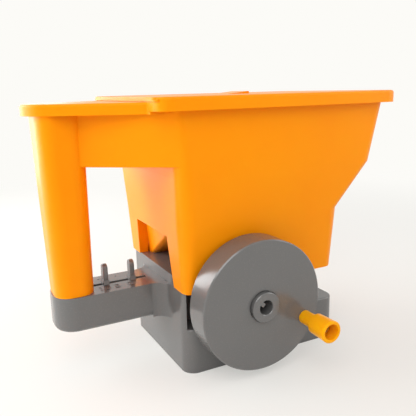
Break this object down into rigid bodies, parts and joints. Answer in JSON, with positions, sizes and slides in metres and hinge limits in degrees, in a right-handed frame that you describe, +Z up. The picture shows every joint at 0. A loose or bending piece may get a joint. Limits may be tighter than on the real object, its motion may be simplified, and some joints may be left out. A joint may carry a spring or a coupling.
{
  "type": "dial seed sower",
  "caption": "Hand-cranked seed sower: an orange hopper with a loop handle on a grey geared base, with a dose slide, a shutter lever, a sliding lid and a throwing disc under the skirt.",
  "frame": {"origin": "middle of the outer box's footprint, on the table under the skirt", "axes": "+X from the handle to the throwing window, +Y away from the crank side, +Z up"},
  "size_m": [0.3296, 0.2284, 0.2483],
  "materials": {
    "orange_plastic": "satin moulded",
    "grey_plastic": "fine satin moulded",
    "pale_acetal": "smooth moulded",
    "plated_steel": "zinc plated",
    "dark_steel": "blackened"
  },
  "bodies": {
    "housing": {"hopper": "orange_plastic", "base": "grey_plastic", "arm_hatch": "grey_plastic", "gear_plate": "grey_plastic", "metering_sill": "pale_acetal", "outer_bush": "pale_acetal", "inner_bush": "pale_acetal", "lower_bearing": "pale_acetal", "upper_bearing": "pale_acetal", "hopper_screws": "plated_steel", "plate_screws": "plated_steel"},
    "crank": {"crank_wheel": "grey_plastic", "dial_cap": "grey_plastic", "axle": "dark_steel", "axle_clip": "plated_steel", "crown_gear": "pale_acetal", "knob_pin": "plated_steel"},
    "knob": {"knob": "orange_plastic"},
    "rotor": {"spindle": "plated_steel", "pinion": "pale_acetal", "agitator": "plated_steel", "throw_disc": "grey_plastic", "disc_nut": "plated_steel"},
    "shutter": {"shutter": "grey_plastic"},
    "dose_stop": {"dose_stop": "grey_plastic"},
    "lid": {"lid": "orange_plastic"}
  },
  "joints": [
    {"name": "crank_turn", "type": "hinge", "parent": "housing", "child": "crank", "pos_m": [0.0056, -0.02578, 0.0674], "axis": [0, 1, 0], "continuous": true},
    {"name": "knob_spin", "type": "hinge", "parent": "crank", "child": "knob", "pos_m": [0.04887, -0.08578, 0.04805], "axis": [0, 1, 0], "continuous": true},
    {"name": "rotor_turn", "type": "hinge", "parent": "housing", "child": "rotor", "pos_m": [0.0056, 0.03032, 0.05], "axis": [0, 0, 1], "continuous": true},
    {"name": "shutter_slide", "type": "slide", "parent": "housing", "child": "shutter", "axis": [-1, 0, 0], "range_m": [0, 0.018]},
    {"name": "dose_slide", "type": "slide", "parent": "housing", "child": "dose_stop", "axis": [-1, 0, 0], "range_m": [0, 0.008]},
    {"name": "lid_slide", "type": "slide", "parent": "housing", "child": "lid", "axis": [-1, 0, 0], "range_m": [0, 0.15]}
  ],
  "couplings": [
    {"joint": "rotor_turn", "follows": "crank_turn", "ratio": -3}
  ]
}
